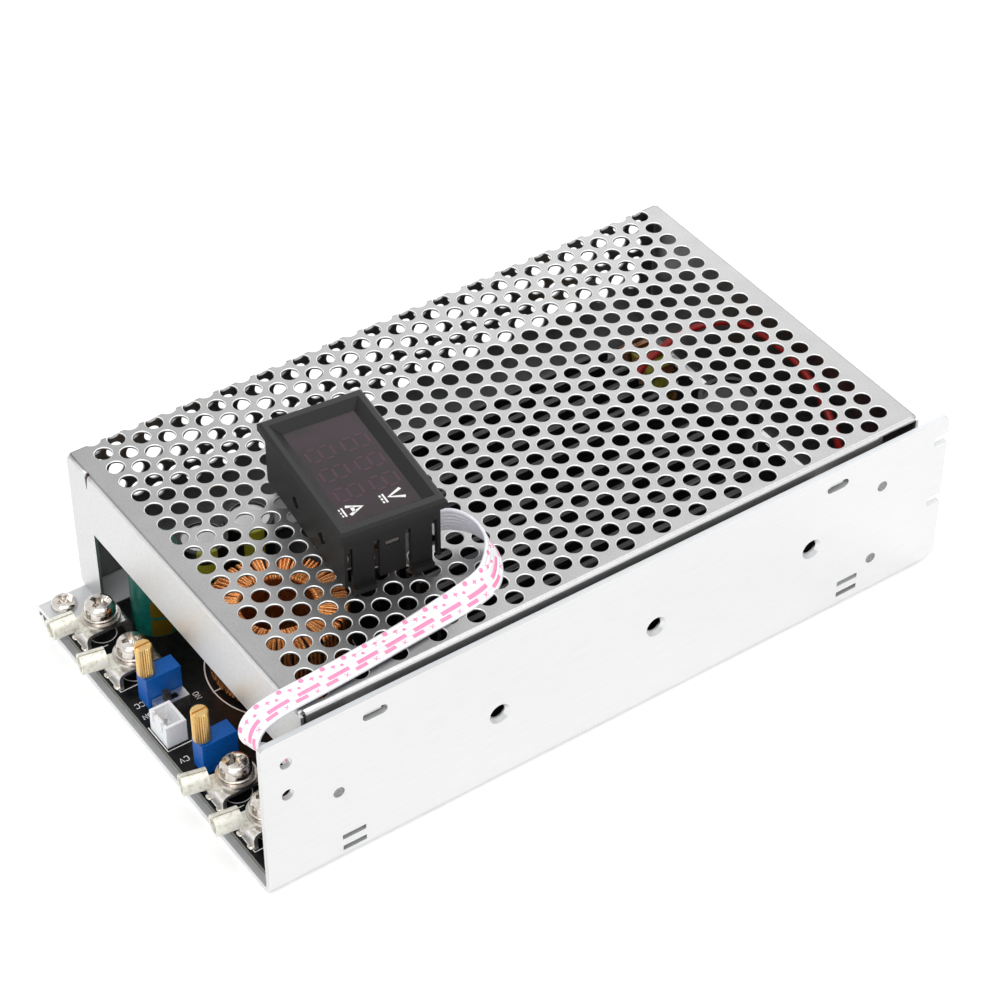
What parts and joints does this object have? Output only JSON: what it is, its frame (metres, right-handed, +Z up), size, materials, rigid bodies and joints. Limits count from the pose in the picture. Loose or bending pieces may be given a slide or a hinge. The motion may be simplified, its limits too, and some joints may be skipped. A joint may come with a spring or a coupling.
{
  "type": "step-down converter module",
  "caption": "Step-down converter in a folded sheet case with a perforated cover, open screw terminals, trimmers and a small panel meter on a flat cable.",
  "frame": {"origin": "centre of the base's four mounting holes, on the face that the case stands on", "axes": "+X along the case from the terminals to the notched rear end, +Y from the tall side wall to the perforated side, +Z up"},
  "size_m": [0.2047, 0.11, 0.071],
  "materials": {
    "satin_aluminium": "bright satin",
    "zinc_sheet": "galvanised, finely speckled",
    "bright_screw": "polished nickel",
    "tinned_metal": "matte tin",
    "knob_brass": "satin",
    "copper_wire": "enamelled copper",
    "core_dark": "painted",
    "core_yellow": "painted yellow",
    "black_aluminium": "black anodised",
    "board_black": "black solder mask",
    "film_clear": "clear film",
    "trimmer_blue": "moulded",
    "white_nylon": "moulded",
    "black_plastic": "moulded",
    "meter_black": "fine textured moulding",
    "meter_tint": "dark tinted",
    "teal_sleeve": "shrink sleeve",
    "dark_sleeve": "shrink sleeve",
    "device_black": "moulded",
    "ribbon_white": "flat cable insulation",
    "lead_red": "insulation"
  },
  "bodies": {
    "case": {"board_posts": "tinned_metal", "board_screws": "bright_screw", "capacitor_1": "teal_sleeve", "capacitor_2": "dark_sleeve", "capacitor_3": "dark_sleeve", "capacitor_4": "dark_sleeve", "chassis": "satin_aluminium", "choke_core": "core_dark", "choke_winding": "copper_wire", "circuit_board": "board_black", "cover": "zinc_sheet", "current_trimmer": "trimmer_blue", "filter_core": "core_yellow", "filter_winding": "copper_wire", "flange_screw": "bright_screw", "flat_washers": "bright_screw", "heat_spreader": "satin_aluminium", "heatsink_far": "black_aluminium", "heatsink_near": "black_aluminium", "insulating_film": "film_clear", "meter_board": "board_black", "meter_case": "meter_black", "meter_display": "black_plastic", "meter_plug": "white_nylon", "meter_window": "meter_tint", "power_device_1": "device_black", "power_device_2": "device_black", "power_device_3": "device_black", "power_device_4": "device_black", "red_lead": "lead_red", "ribbon_cable": "ribbon_white", "ribbon_header": "white_nylon", "ribbon_plug": "white_nylon", "signal_pins": "tinned_metal", "signal_socket": "white_nylon", "spring_washers": "bright_screw", "switch_base": "black_plastic", "switch_frame": "tinned_metal", "terminal_bracket_1": "tinned_metal", "terminal_bracket_2": "tinned_metal", "terminal_bracket_3": "tinned_metal", "terminal_bracket_4": "tinned_metal", "terminal_screws": "bright_screw", "voltage_trimmer": "trimmer_blue", "wall_device": "device_black", "wall_screws": "bright_screw", "wire_lug_1": "tinned_metal", "wire_lug_2": "tinned_metal", "wire_lug_3": "tinned_metal", "wire_lug_4": "tinned_metal"},
    "voltage_knob": {"voltage_trimmer_knob": "knob_brass"},
    "current_knob": {"current_trimmer_knob": "knob_brass"},
    "switch_lever": {"switch_slider": "black_plastic"}
  },
  "joints": [
    {"name": "voltage_knob_turn", "type": "hinge", "parent": "case", "child": "voltage_knob", "pos_m": [-0.094, -0.017, 0.0163], "axis": [0, 0, 1], "continuous": true},
    {"name": "current_knob_turn", "type": "hinge", "parent": "case", "child": "current_knob", "pos_m": [-0.094, 0.0093, 0.0163], "axis": [0, 0, 1], "continuous": true},
    {"name": "switch_lever_slide", "type": "slide", "parent": "case", "child": "switch_lever", "axis": [1, 0, 0], "range_m": [0, 0.002]}
  ]
}
